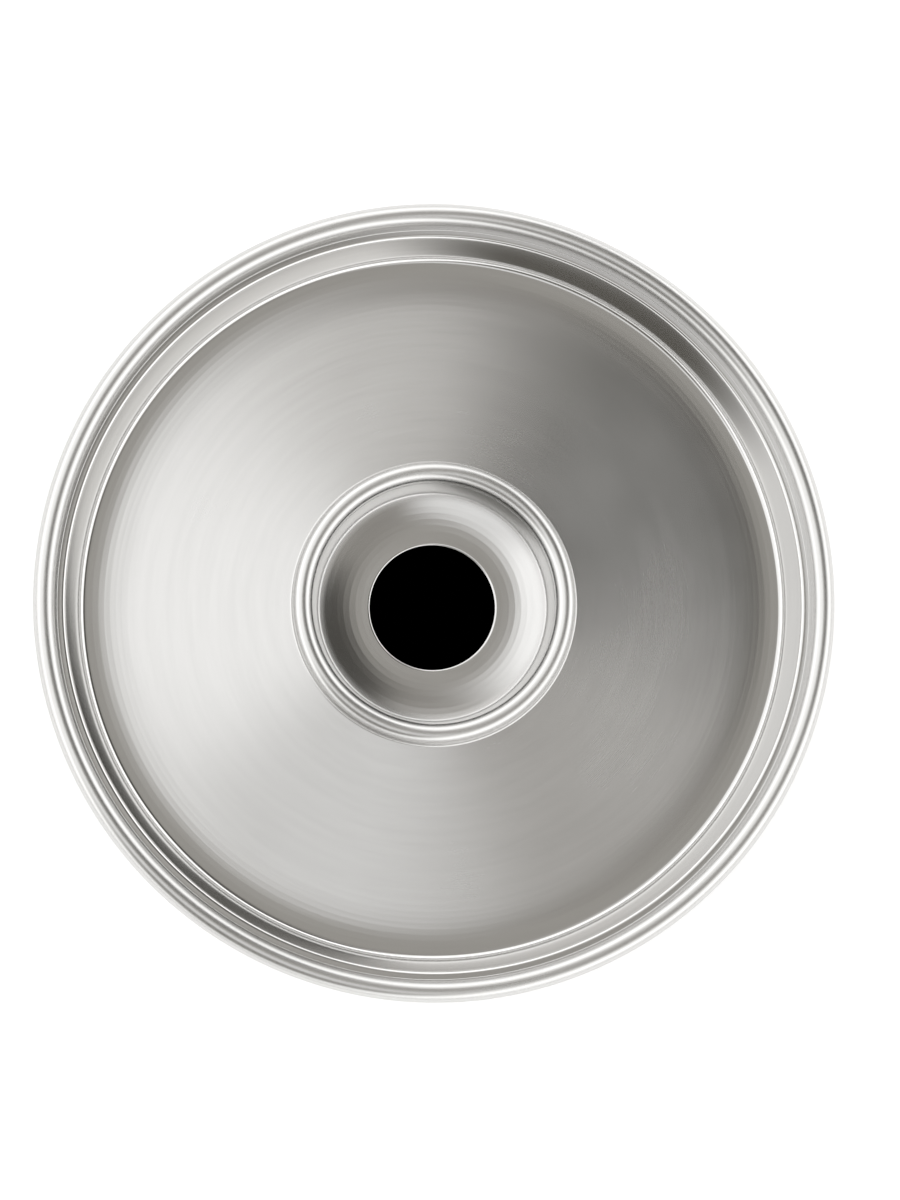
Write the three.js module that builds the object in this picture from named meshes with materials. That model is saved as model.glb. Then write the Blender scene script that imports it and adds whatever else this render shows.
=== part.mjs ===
// Steel base dish of a stovetop ring baker: a shallow round dish with a chimney
// hole in the middle. A ring pan stands on its ledge and on its collar, and hot
// gas from the burner rises through the hole and up the pan's tube.
//
// Three pieces, all turned about +Z, in millimetres, resting on z = 0:
//   dish        pressed sheet: curled rim, pan ledge, wall, coned floor, collar
//   centre_cup  pressed sheet: round-bottomed cup with the hole, tucked behind the
//               collar's lip; the level ring round the hole is what it stands on
//   rim_wire    round wire that stiffens the curled rim
import * as THREE from 'three';

// ---- driving dimensions ----------------------------------------------------
const SHEET = 0.8; // sheet thickness
const GAP = 0.3; // clearance between pieces that touch
const SECTORS = 60; // flats round the axis
const ARC_STEP = 30; // degrees of bend to one flat

const RIM_RADIUS = 125; // outside of the curled rim
const RIM_TOP = 31.6; // overall height
const CURL_RADIUS = 3.5; // outside radius of the curl
const CURL_END = -120; // where the curl stops, in degrees from straight out

const LEDGE_TOP = 21.2; // seat of the ring pan's flange
const LEDGE_EDGE = 115.8; // where the ledge turns down into the wall
const LEDGE_OUTER_BEND = 0.6; // up into the rim
const LEDGE_INNER_BEND = 1.0; // down into the wall
const WALL_FOOT = 112.0; // where the wall would meet the floor with no bend
const FLOOR_EDGE_TOP = 5.5; // height of the floor's top face there
const WALL_BEND = 2.5;
const EASE_RADIUS = 102.2; // the floor's cone eases here into a nearly level edge
const EASE_TOP = 5.0;
const EASE_BEND = 75;

const COLLAR_RADIUS = 41.4; // middle of the raised collar
const COLLAR_TOP = 22.0;
const CROWN_RADIUS = 3.2; // outside radius of the collar's round top
const FLOOR_NECK_TOP = 13.6; // height of the floor's top face at the collar
const NECK_BEND = 1.3;
const LIP_END = 15.7; // the dish's lip hangs inside the collar down to here

const HOLE_RADIUS = 19.9; // chimney hole
const BOWL_MIDDLE = 28.5; // the cup's floor turns up about here
const BOWL_BEND = 57;
const CUP_CORNER = 36.95; // where the cup's floor would meet its wall with no bend
const CUP_CORNER_TOP = 2.6;
const CUP_BEND = 1.5;
const JOGGLE_START = 14.4; // the cup's wall steps outwards from here
const JOGGLE_END = 15.4; // to here, so that it passes behind the lip
const TUCK_TOP = 19.6; // the cup's top edge, hidden under the collar

// ---- derived places --------------------------------------------------------
const HALF = SHEET / 2;
const curl = {
  r: RIM_RADIUS - CURL_RADIUS,
  z: RIM_TOP - CURL_RADIUS,
  line: CURL_RADIUS - HALF,
};
const crown = {
  r: COLLAR_RADIUS,
  z: COLLAR_TOP - CROWN_RADIUS,
  line: CROWN_RADIUS - HALF,
};
const tuck = crown.r - crown.line + SHEET + GAP; // radius of the wall behind the lip

const degrees = (angle) => (angle * Math.PI) / 180;

// ---- drawing a bent sheet --------------------------------------------------

/** Points on an arc about a centre, both ends included, one for each flat. */
function arc(centre, radius, from, to) {
  const count = Math.max(2, Math.ceil(Math.abs(to - from) / ARC_STEP));
  return Array.from({ length: count + 1 }, (_, i) => {
    const angle = degrees(from + ((to - from) * i) / count);
    return new THREE.Vector2(
      centre.r + radius * Math.cos(angle),
      centre.z + radius * Math.sin(angle),
    );
  });
}

/** Rounds the corner b between a and c with a bend of the given radius. */
function bend(a, b, c, radius) {
  const toA = a.clone().sub(b).normalize();
  const toC = c.clone().sub(b).normalize();
  const half = Math.acos(THREE.MathUtils.clamp(toA.dot(toC), -1, 1)) / 2;
  const reach = radius / Math.tan(half);
  const start = b.clone().addScaledVector(toA, reach);
  const middle = toA.clone().add(toC).normalize();
  const centre = b.clone().addScaledVector(middle, radius / Math.sin(half));
  const swing = Math.PI - 2 * half;
  const side = Math.sign(toA.cross(toC));
  const count = Math.max(2, Math.ceil(swing / degrees(ARC_STEP)));
  return Array.from({ length: count + 1 }, (_, i) =>
    start.clone().rotateAround(centre, (side * -swing * i) / count),
  );
}

/** Offsets a line through the middle of a sheet to both of its faces. */
function sheetSection(line) {
  const faces = { left: [], right: [] };
  line.forEach((point, i) => {
    const before = line[Math.max(i - 1, 0)];
    const after = line[Math.min(i + 1, line.length - 1)];
    const into = point.clone().sub(before);
    const out = after.clone().sub(point);
    const run = (i === 0 ? out : into).normalize();
    const next = (i === line.length - 1 ? into : out).normalize();
    const along = run.clone().add(next).normalize();
    const mitre = HALF / Math.max(0.5, along.dot(next));
    const normal = new THREE.Vector2(-along.y, along.x);
    faces.left.push(point.clone().addScaledVector(normal, mitre));
    faces.right.push(point.clone().addScaledVector(normal, -mitre));
  });
  return [...faces.left, ...faces.right.reverse()];
}

/** Turns a closed section about the axis, with +Z up. */
function turned(section) {
  const clockwise = THREE.ShapeUtils.isClockWise(section);
  const loop = clockwise ? section.slice().reverse() : section.slice();
  loop.push(loop[0].clone());
  return new THREE.LatheGeometry(loop, SECTORS).rotateX(Math.PI / 2);
}

/** A named piece of steel. */
function piece(name, geometry, roughness) {
  const steel = new THREE.MeshStandardMaterial({
    color: 0xc9c7c2,
    metalness: 1,
    roughness,
  });
  const mesh = new THREE.Mesh(geometry, steel);
  mesh.name = name;
  return mesh;
}

// ---- the pieces ------------------------------------------------------------

/** From the curl's free end, over the rim, along the floor and over the collar. */
function dish() {
  const at = (r, z) => new THREE.Vector2(r, z);
  const rimWall = curl.r - curl.line;
  const neckWall = crown.r + crown.line;
  const ledge = LEDGE_TOP - HALF;
  const rimCorner = at(rimWall, ledge);
  const ledgeCorner = at(LEDGE_EDGE, ledge);
  const floorCorner = at(WALL_FOOT, FLOOR_EDGE_TOP - HALF);
  const easeCorner = at(EASE_RADIUS, EASE_TOP - HALF);
  const neckCorner = at(neckWall, FLOOR_NECK_TOP - HALF);
  const crownStart = at(neckWall, crown.z);
  return sheetSection([
    ...arc(curl, curl.line, CURL_END, 180),
    ...bend(at(rimWall, curl.z), rimCorner, ledgeCorner, LEDGE_OUTER_BEND),
    ...bend(rimCorner, ledgeCorner, floorCorner, LEDGE_INNER_BEND),
    ...bend(ledgeCorner, floorCorner, easeCorner, WALL_BEND),
    ...bend(floorCorner, easeCorner, neckCorner, EASE_BEND),
    ...bend(easeCorner, neckCorner, crownStart, NECK_BEND),
    ...arc(crown, crown.line, 0, 180),
    at(crown.r - crown.line, LIP_END),
  ]);
}

/** From the hole, out along the rounded floor, up the wall and behind the lip. */
function centreCup() {
  const at = (r, z) => new THREE.Vector2(r, z);
  const hole = at(HOLE_RADIUS, HALF);
  const bowlMiddle = at(BOWL_MIDDLE, HALF);
  const corner = at(CUP_CORNER, CUP_CORNER_TOP - HALF);
  const wallTop = at(crown.r - crown.line, JOGGLE_START);
  return sheetSection([
    hole,
    ...bend(hole, bowlMiddle, corner, BOWL_BEND),
    ...bend(bowlMiddle, corner, wallTop, CUP_BEND),
    wallTop,
    at(tuck, JOGGLE_END),
    at(tuck, TUCK_TOP),
  ]);
}

/** A ring of round wire that fills the curl, less its clearance. */
function rimWire() {
  const radius = CURL_RADIUS - SHEET - GAP - 0.1;
  const sides = 10;
  return Array.from({ length: sides }, (_, i) => {
    const angle = (2 * Math.PI * i) / sides;
    return new THREE.Vector2(
      curl.r + radius * Math.cos(angle),
      curl.z + radius * Math.sin(angle),
    );
  });
}

const baker = new THREE.Group();
baker.add(piece('dish', turned(dish()), 0.3));
baker.add(piece('centre_cup', turned(centreCup()), 0.3));
baker.add(piece('rim_wire', turned(rimWire()), 0.4));

export default baker;
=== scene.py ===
"""Looks of the ring baker's base dish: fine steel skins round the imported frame.

The sheet pieces are turned about +Z from the same driving dimensions as the CAD
model, with true arcs in place of its flats. Lengths here are in millimetres and
become metres when a mesh is made.
"""

import math

import bpy
from mathutils import Matrix, Vector


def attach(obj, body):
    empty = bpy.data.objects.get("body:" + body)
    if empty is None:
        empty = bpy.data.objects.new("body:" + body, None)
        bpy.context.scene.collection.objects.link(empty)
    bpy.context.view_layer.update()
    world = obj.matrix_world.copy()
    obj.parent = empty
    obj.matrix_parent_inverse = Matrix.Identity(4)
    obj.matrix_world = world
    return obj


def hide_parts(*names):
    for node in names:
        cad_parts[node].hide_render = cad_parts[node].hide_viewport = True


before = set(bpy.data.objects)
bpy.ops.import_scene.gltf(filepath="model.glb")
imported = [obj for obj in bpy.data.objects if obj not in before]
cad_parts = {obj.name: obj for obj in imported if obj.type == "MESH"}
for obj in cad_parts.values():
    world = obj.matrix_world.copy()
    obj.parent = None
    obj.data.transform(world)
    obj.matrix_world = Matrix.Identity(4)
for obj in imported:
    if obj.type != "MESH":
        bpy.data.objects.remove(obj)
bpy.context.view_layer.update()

MM = 0.001

# ---- sheet and sections, as in the CAD model --------------------------------
SHEET = 0.8
HALF = SHEET / 2
GAP = 0.3

RIM_RADIUS = 125
RIM_TOP = 31.6
CURL_RADIUS = 3.5
CURL_END = -120
WIRE_CLEARANCE = 0.4

LEDGE_TOP = 21.2
LEDGE_EDGE = 115.8
LEDGE_OUTER_BEND = 0.6
LEDGE_INNER_BEND = 1.0
WALL_FOOT = 112.0
FLOOR_EDGE_TOP = 5.5
WALL_BEND = 2.5
EASE_RADIUS = 102.2
EASE_TOP = 5.0
EASE_BEND = 75

COLLAR_RADIUS = 41.4
COLLAR_TOP = 22.0
CROWN_RADIUS = 3.2
FLOOR_NECK_TOP = 13.6
NECK_BEND = 1.3
LIP_END = 15.7

HOLE_RADIUS = 19.9
BOWL_MIDDLE = 28.5
BOWL_BEND = 57
CUP_CORNER = 36.95
CUP_CORNER_TOP = 2.6
CUP_BEND = 1.5
JOGGLE_START = 14.4
JOGGLE_END = 15.4
TUCK_TOP = 19.6

# ---- fineness of the skins --------------------------------------------------
SECTORS = 288
ARC_STEP = 6  # degrees of a tight bend to one flat
LONGEST_BEND = 2.0  # longest flat along a wide bend
LONGEST = 4.0  # longest flat along a straight stretch
SUPPORT = 0.15  # short flats beside a bend keep its shading off the straight
CUT_EDGE = 0.25  # how far the rounding of a cut edge reaches into the sheet
HOLE_EDGE = 0.7  # the hole's edge is dressed rounder
CUT_STEPS = 8
MITRE_LIMIT = 0.5  # keeps a sharp corner's mitre short

# ---- steel -------------------------------------------------------------------
STEEL = (0.64, 0.635, 0.625)
WIRE_STEEL = (0.6, 0.59, 0.57)
DULL = 0.97  # brightness of the dull bands against the rest
DULL_BANDS = (0.35, 0.65)  # noise values between bright bands and dull ones

# roughness of the satin finish and of the brighter zones
DISH_SATIN = 0.26
DISH_BRIGHT = 0.13
CUP_SATIN = 0.36
CUP_BRIGHT = 0.15
WIRE_SATIN = 0.32
# radii where a bright zone starts, is full, starts to end and is gone
DISH_ZONE = (98, 108, 117.4, 118.4)
CUP_ZONE = (10, 15, 34, 36.5)

# cells to a millimetre across the grooves and to a radian along them
GROOVES = {"across": 2.6, "around": 7.0, "detail": 3.0}
BANDS = {"across": 0.35, "around": 2.0, "detail": 2.0}
CLOUDS = {"Scale": 22.0, "Detail": 3.0}
NOISE_RANGE = (0.3, 0.7)  # where most of a noise's values lie
UNEVEN = 0.006  # change of roughness from groove to groove
PATCHY = 0.015  # change of roughness from cloud to cloud
GROOVE_DEPTH = 0.012
GROOVE_STRENGTH = 0.1
RIPPLE_DEPTH = 0.04
RIPPLE_STRENGTH = 0.4
ANISOTROPY = 0.6  # highlights spread across the grooves
ANISOTROPY_TURN = 0.25  # in whole turns

# ---- camera: a long lens a little off the axis ------------------------------
VIEW_TILT = math.degrees(math.atan(1 / 10))  # one aside to ten down
VIEW_AZIMUTH = 246
VIEW_DISTANCE = 1200
VIEW_HEIGHT = 373  # what the frame's height takes in at the rim
VIEW_CENTRE = Vector((4.4, -0.4, RIM_TOP))  # in the middle of the picture
SENSOR = 36
LENS_REACH = 50  # metres

# ---- stage and light ---------------------------------------------------------
FLOOR_RADIUS = 6000
FLOOR_TOP = -0.02  # just under the dish
FLOOR_COLOUR = (0.85, 0.85, 0.85)
FLOOR_ROUGHNESS = 0.9
FLOOR_GLOW = 0.3  # keeps the ground white
CARD_RADIUS = 30  # black card under the chimney hole: painted shade seen through the hole
CARD_TOP = 0.0
SLAB_CORNERS = 96
ROOM = (2.0, 2.0, 2.0)
# Soft round panels, each laid over those before it: azimuth, tilt from straight up,
# radius where full and radius where faded out, all in degrees, then the colour.
PANELS = (
    (0, 180, 88, 122, (0.75, 0.745, 0.735)),  # dimmer below and at the horizon
    (0, 0, 36, 56, (1.4, 1.39, 1.37)),  # dimmer overhead
    (0, 0, 22, 37, (0.36, 0.345, 0.32)),  # ceiling
    (174, 24, 10, 30, (1.45, 1.45, 1.45)),  # main panel
    (240, 42, 12, 30, (0.2, 0.19, 0.17)),  # dark patch on the camera's side
    (250, 18, 6, 16, (1.1, 1.1, 1.1)),  # second panel
    (64, 41, 7, 14, (0.1, 0.095, 0.085)),  # dark patch on the far side
    (75, 4, 2, 10, (0.45, 0.435, 0.405)),  # grey patch straight overhead
    (30, 25, 9, 18, (0.08, 0.076, 0.068)),  # dark flag on the right
)


# ---- sections ---------------------------------------------------------------
def at(r, z):
    return Vector((r, z))


def arc(centre, radius, start, end):
    """Points on an arc about a centre, angles in degrees, both ends included."""
    count = max(2, math.ceil(abs(end - start) / ARC_STEP))
    angles = [math.radians(start + (end - start) * i / count) for i in range(count + 1)]
    return [centre + radius * Vector((math.cos(a), math.sin(a))) for a in angles]


def bend(a, b, c, radius):
    """Rounds the corner b between a and c."""
    to_a = (a - b).normalized()
    to_c = (c - b).normalized()
    half = to_a.angle(to_c) / 2
    start = b + to_a * (radius / math.tan(half))
    centre = b + (to_a + to_c).normalized() * (radius / math.sin(half))
    swing = math.pi - 2 * half
    side = math.copysign(1, to_a.x * to_c.y - to_a.y * to_c.x)
    by_angle = math.ceil(math.degrees(swing) / ARC_STEP)
    by_length = math.ceil(swing * radius / LONGEST_BEND)
    count = max(2, by_angle, by_length)
    spoke = start - centre
    points = []
    for i in range(count + 1):
        turn = -side * swing * i / count
        cos, sin = math.cos(turn), math.sin(turn)
        turned_spoke = (spoke.x * cos - spoke.y * sin, spoke.x * sin + spoke.y * cos)
        points.append(centre + Vector(turned_spoke))
    return points


def with_supports(line):
    """Splits long straight stretches, with a short flat at each end of them."""
    points = [line[0]]
    for a, b in zip(line, line[1:]):
        length = (b - a).length
        if length > 4 * SUPPORT:
            along = (b - a) / length
            inner = length - 2 * SUPPORT
            count = math.ceil(inner / LONGEST)
            points += [a + along * (SUPPORT + inner * i / count) for i in range(count + 1)]
        points.append(b)
    return points


def sheet_section(line, cut_edge):
    """Both faces of a sheet drawn by its middle line, with rounded cut edges.

    The rounding reaches past both ends of the line by cut_edge.
    """
    line = with_supports(line)
    left, right = [], []
    for i, point in enumerate(line):
        before = line[max(i - 1, 0)]
        after = line[min(i + 1, len(line) - 1)]
        into = (point - before) if i else (after - point)
        out = (after - point) if i < len(line) - 1 else (point - before)
        into.normalize()
        out.normalize()
        along = (into + out).normalized()
        mitre = HALF / max(MITRE_LIMIT, along.dot(out))
        normal = Vector((-along.y, along.x))
        left.append(point + normal * mitre)
        right.append(point - normal * mitre)
    return round_ends(left, right, cut_edge)


def round_ends(left, right, reach):
    """Joins the two faces of a sheet with a rounded edge of that reach at each end."""

    def cap(a, b):
        middle = (a + b) / 2
        across = a - middle
        out = Vector((across.y, -across.x)).normalized() * reach
        angles = [math.pi * i / CUT_STEPS for i in range(1, CUT_STEPS)]
        return [middle + across * math.cos(t) + out * math.sin(t) for t in angles]

    end = cap(left[-1], right[-1])
    start = cap(right[0], left[0])
    return left + end + right[::-1] + start


# ---- meshes -----------------------------------------------------------------
def turned(name, section):
    """A closed solid of revolution about +Z, as a smooth-shaded object."""
    area = sum(p.x * q.y - q.x * p.y for p, q in zip(section, section[1:] + section[:1]))
    if area < 0:
        section = section[::-1]
    rings = len(section)
    verts = []
    for k in range(SECTORS):
        angle = 2 * math.pi * k / SECTORS
        cos, sin = math.cos(angle) * MM, math.sin(angle) * MM
        verts += [(p.x * cos, p.x * sin, p.y * MM) for p in section]
    faces = []
    for k in range(SECTORS):
        here, there = k * rings, (k + 1) % SECTORS * rings
        for i in range(rings):
            j = (i + 1) % rings
            faces.append((here + i, there + i, there + j, here + j))
    mesh = bpy.data.meshes.new(name)
    mesh.from_pydata(verts, [], faces)
    mesh.polygons.foreach_set("use_smooth", [True] * len(faces))
    mesh.update()
    piece = bpy.data.objects.new(name, mesh)
    bpy.context.scene.collection.objects.link(piece)
    return piece


CURL = at(RIM_RADIUS - CURL_RADIUS, RIM_TOP - CURL_RADIUS)
CURL_LINE = CURL_RADIUS - HALF
CROWN = at(COLLAR_RADIUS, COLLAR_TOP - CROWN_RADIUS)
CROWN_LINE = CROWN_RADIUS - HALF


def dish_section():
    """From the curl's free end, over the rim, along the floor and over the collar."""
    rim_wall = CURL.x - CURL_LINE
    neck_wall = CROWN.x + CROWN_LINE
    ledge = LEDGE_TOP - HALF
    rim_corner = at(rim_wall, ledge)
    ledge_corner = at(LEDGE_EDGE, ledge)
    floor_corner = at(WALL_FOOT, FLOOR_EDGE_TOP - HALF)
    ease_corner = at(EASE_RADIUS, EASE_TOP - HALF)
    neck_corner = at(neck_wall, FLOOR_NECK_TOP - HALF)
    return sheet_section(
        arc(CURL, CURL_LINE, CURL_END, 180)
        + bend(at(rim_wall, CURL.y), rim_corner, ledge_corner, LEDGE_OUTER_BEND)
        + bend(rim_corner, ledge_corner, floor_corner, LEDGE_INNER_BEND)
        + bend(ledge_corner, floor_corner, ease_corner, WALL_BEND)
        + bend(floor_corner, ease_corner, neck_corner, EASE_BEND)
        + bend(ease_corner, neck_corner, at(neck_wall, CROWN.y), NECK_BEND)
        + arc(CROWN, CROWN_LINE, 0, 180)
        + [at(CROWN.x - CROWN_LINE, LIP_END + CUT_EDGE)],
        CUT_EDGE,
    )


def cup_section():
    """From the hole, out along the rounded floor, up the wall and behind the lip."""
    hole = at(HOLE_RADIUS + HOLE_EDGE, HALF)
    bowl_middle = at(BOWL_MIDDLE, HALF)
    corner = at(CUP_CORNER, CUP_CORNER_TOP - HALF)
    wall_top = at(CROWN.x - CROWN_LINE, JOGGLE_START)
    tuck = CROWN.x - CROWN_LINE + SHEET + GAP
    return sheet_section(
        [hole]
        + bend(hole, bowl_middle, corner, BOWL_BEND)
        + bend(bowl_middle, corner, wall_top, CUP_BEND)
        + [wall_top, at(tuck, JOGGLE_END), at(tuck, TUCK_TOP - HOLE_EDGE)],
        HOLE_EDGE,
    )


def wire_section():
    """A round wire that fills the rim's curl."""
    return arc(CURL, CURL_RADIUS - SHEET - WIRE_CLEARANCE, 0, 360)[:-1]


# ---- materials --------------------------------------------------------------
class Nodes:
    """A node tree, with short calls to add and join its nodes."""

    def __init__(self, tree):
        self.tree = tree

    def add(self, kind, inputs=None, **settings):
        node = self.tree.nodes.new(kind)
        for key, value in settings.items():
            setattr(node, key, value)
        for key, value in (inputs or {}).items():
            self.put(node.inputs[key], value)
        return node

    def put(self, socket, value):
        if isinstance(value, bpy.types.NodeSocket):
            self.tree.links.new(value, socket)
        else:
            socket.default_value = value

    def math(self, operation, *values):
        node = self.add("ShaderNodeMath", operation=operation)
        for socket, value in zip(node.inputs, values):
            self.put(socket, value)
        return node.outputs[0]

    def remap(self, value, low, high, to_low, to_high, curve="LINEAR"):
        """Carries value from one range to another, held at its ends."""
        limits = {0: value, 1: low, 2: high, 3: to_low, 4: to_high}
        return self.add("ShaderNodeMapRange", limits, interpolation_type=curve).outputs[0]

    def mix(self, factor, below, above):
        """Colour above laid over colour below."""
        node = self.add("ShaderNodeMix", {"Factor": factor}, data_type="RGBA")
        self.put(node.inputs[6], below)
        self.put(node.inputs[7], above)
        return node.outputs[2]


def new_material(name):
    """A material, its nodes and its Principled surface."""
    material = bpy.data.materials.new(name)
    material.use_nodes = True
    return material, Nodes(material.node_tree), material.node_tree.nodes["Principled BSDF"]


def turned_noise(nodes, across, around, detail):
    """Noise drawn out round the axis, with no seam, and the radius it is made from."""
    place = nodes.add("ShaderNodeTexCoord").outputs["Object"]
    xyz = nodes.add("ShaderNodeSeparateXYZ", {0: place})
    flat = nodes.add("ShaderNodeCombineXYZ", {"X": xyz.outputs["X"], "Y": xyz.outputs["Y"]})
    radius = nodes.add("ShaderNodeVectorMath", {0: flat.outputs[0]}, operation="LENGTH")
    heading = nodes.add("ShaderNodeVectorMath", {0: flat.outputs[0]}, operation="NORMALIZE")
    spread = nodes.add("ShaderNodeVectorMath", {0: heading.outputs[0]}, operation="SCALE")
    nodes.put(spread.inputs["Scale"], around)
    lift = nodes.math("MULTIPLY", xyz.outputs["Z"], across / MM)
    raised = nodes.add("ShaderNodeCombineXYZ", {"Z": lift})
    vector = nodes.add("ShaderNodeVectorMath", {0: spread.outputs[0], 1: raised.outputs[0]})
    noise = nodes.add("ShaderNodeTexNoise", noise_dimensions="4D")
    nodes.put(noise.inputs["Vector"], vector.outputs[0])
    nodes.put(noise.inputs["W"], nodes.math("MULTIPLY", radius.outputs["Value"], across / MM))
    noise.inputs["Scale"].default_value = 1.0
    noise.inputs["Detail"].default_value = detail
    return noise.outputs[0], radius.outputs["Value"]


def finish(nodes, radius, satin, bright, zone):
    """Roughness that is bright inside the zone's radii and satin outside them."""
    start, full, ending, gone = (edge * MM for edge in zone)
    rise = nodes.remap(radius, start, full, 0.0, 1.0, "SMOOTHSTEP")
    fall = nodes.remap(radius, ending, gone, 1.0, 0.0)
    share = nodes.math("MULTIPLY", rise, fall)
    return nodes.math("ADD", nodes.math("MULTIPLY", share, bright - satin), satin)


def spun_steel(name, colour, satin, bright=None, zone=None):
    """Stainless steel turned on a lathe, with grooves that run round the axis.

    satin and bright are the roughness of its two finishes. With no zone it is
    satin all over.
    """
    material, nodes, surface = new_material(name)
    fine, radius = turned_noise(nodes, **GROOVES)
    broad, _ = turned_noise(nodes, **BANDS)
    cloud = nodes.add("ShaderNodeTexNoise", CLOUDS)
    nodes.put(cloud.inputs["Vector"], nodes.add("ShaderNodeTexCoord").outputs["Object"])

    base = finish(nodes, radius, satin, bright, zone) if zone else satin
    uneven = nodes.remap(fine, *NOISE_RANGE, -UNEVEN, UNEVEN)
    patchy = nodes.remap(cloud.outputs[0], *NOISE_RANGE, -PATCHY, PATCHY)
    rough = nodes.math("ADD", nodes.math("ADD", base, uneven), patchy)

    light = (*colour, 1)
    dull = (*[c * DULL for c in colour], 1)
    tint = nodes.mix(nodes.remap(broad, *DULL_BANDS, 0.0, 1.0), light, dull)

    grooves = {"Strength": GROOVE_STRENGTH, "Distance": GROOVE_DEPTH * MM, "Height": fine}
    ripples = {"Strength": RIPPLE_STRENGTH, "Distance": RIPPLE_DEPTH * MM, "Height": broad}
    grooved = nodes.add("ShaderNodeBump", grooves)
    rippled = nodes.add("ShaderNodeBump", ripples)
    nodes.put(rippled.inputs["Normal"], grooved.outputs[0])

    surface.inputs["Metallic"].default_value = 1.0
    surface.inputs["Anisotropic"].default_value = ANISOTROPY
    surface.inputs["Anisotropic Rotation"].default_value = ANISOTROPY_TURN
    tangent = nodes.add("ShaderNodeTangent", direction_type="RADIAL", axis="Z")
    nodes.put(surface.inputs["Tangent"], tangent.outputs[0])
    nodes.put(surface.inputs["Base Color"], tint)
    nodes.put(surface.inputs["Roughness"], rough)
    nodes.put(surface.inputs["Normal"], rippled.outputs[0])
    return material


def plain(name, colour, roughness, glow=0.0):
    """An even matt surface of the stage, which may glow faintly white."""
    material, _, surface = new_material(name)
    surface.inputs["Base Color"].default_value = (*colour, 1)
    surface.inputs["Emission Color"].default_value = (1, 1, 1, 1)
    surface.inputs["Emission Strength"].default_value = glow
    surface.inputs["Roughness"].default_value = roughness
    surface.inputs["Specular IOR Level"].default_value = 0.0
    return material


# ---- the object -------------------------------------------------------------
def add_piece(name, section, node, material):
    """A turned piece that stands for a CAD node."""
    piece = turned(name, section)
    piece.data.materials.append(material)
    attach(piece, "root")
    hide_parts(node)


add_piece(
    "dish_sheet", dish_section(), "dish",
    spun_steel("dish_steel", STEEL, DISH_SATIN, DISH_BRIGHT, DISH_ZONE),
)
add_piece(
    "cup_sheet", cup_section(), "centre_cup",
    spun_steel("cup_steel", STEEL, CUP_SATIN, CUP_BRIGHT, CUP_ZONE),
)
add_piece(
    "wire_ring", wire_section(), "rim_wire",
    spun_steel("wire_steel", WIRE_STEEL, WIRE_SATIN),
)


# ---- stage ------------------------------------------------------------------
def slab(name, radius, z, material):
    """A flat round sheet of the stage."""
    angles = [2 * math.pi * i / SLAB_CORNERS for i in range(SLAB_CORNERS)]
    ring = [(radius * math.cos(a) * MM, radius * math.sin(a) * MM, z * MM) for a in angles]
    mesh = bpy.data.meshes.new(name)
    mesh.from_pydata(ring, [], [list(range(SLAB_CORNERS))])
    piece = bpy.data.objects.new(name, mesh)
    piece.data.materials.append(material)
    bpy.context.scene.collection.objects.link(piece)


pale_floor = plain("pale_floor", FLOOR_COLOUR, FLOOR_ROUGHNESS, FLOOR_GLOW)
slab("floor", FLOOR_RADIUS, FLOOR_TOP, pale_floor)
# a black card under the hole paints the shade seen through the chimney
slab("hole_shade_card", CARD_RADIUS, CARD_TOP, plain("hole_shade_card", (0.0, 0.0, 0.0), 1.0))


def towards(azimuth, tilt):
    """The direction that leans from straight up by tilt, towards azimuth, in degrees."""
    azimuth, tilt = math.radians(azimuth), math.radians(tilt)
    reach = math.sin(tilt)
    return Vector((reach * math.cos(azimuth), reach * math.sin(azimuth), math.cos(tilt)))


def studio():
    """A bright room, with the soft panels laid over it in turn."""
    world = bpy.data.worlds.new("studio")
    bpy.context.scene.world = world
    world.use_nodes = True
    nodes = Nodes(world.node_tree)
    sight = nodes.add("ShaderNodeTexCoord").outputs["Generated"]
    light = (*ROOM, 1)
    for azimuth, tilt, full, faded, colour in PANELS:
        both = {0: sight, 1: towards(azimuth, tilt)}
        lean = nodes.add("ShaderNodeVectorMath", both, operation="DOT_PRODUCT")
        edges = math.cos(math.radians(faded)), math.cos(math.radians(full))
        share = nodes.remap(lean.outputs["Value"], *edges, 0.0, 1.0, "SMOOTHSTEP")
        light = nodes.mix(share, light, (*colour, 1))
    nodes.put(world.node_tree.nodes["Background"].inputs["Color"], light)


studio()


# ---- camera -----------------------------------------------------------------
def camera():
    """Looks down at the rim, with +Y up in the picture."""
    back = towards(VIEW_AZIMUTH, VIEW_TILT)
    up = Vector((0, 1, 0))
    right = up.cross(back).normalized()
    up = back.cross(right)
    data = bpy.data.cameras.new("camera")
    data.sensor_width = SENSOR
    data.lens = SENSOR * VIEW_DISTANCE / VIEW_HEIGHT
    data.clip_end = LENS_REACH
    lens = bpy.data.objects.new("camera", data)
    turn = Matrix((right, up, back)).transposed().to_4x4()
    place = (VIEW_CENTRE + back * VIEW_DISTANCE) * MM
    lens.matrix_world = Matrix.Translation(place) @ turn
    bpy.context.scene.collection.objects.link(lens)
    bpy.context.scene.camera = lens


camera()

bpy.context.scene.view_settings.view_transform = "Standard"
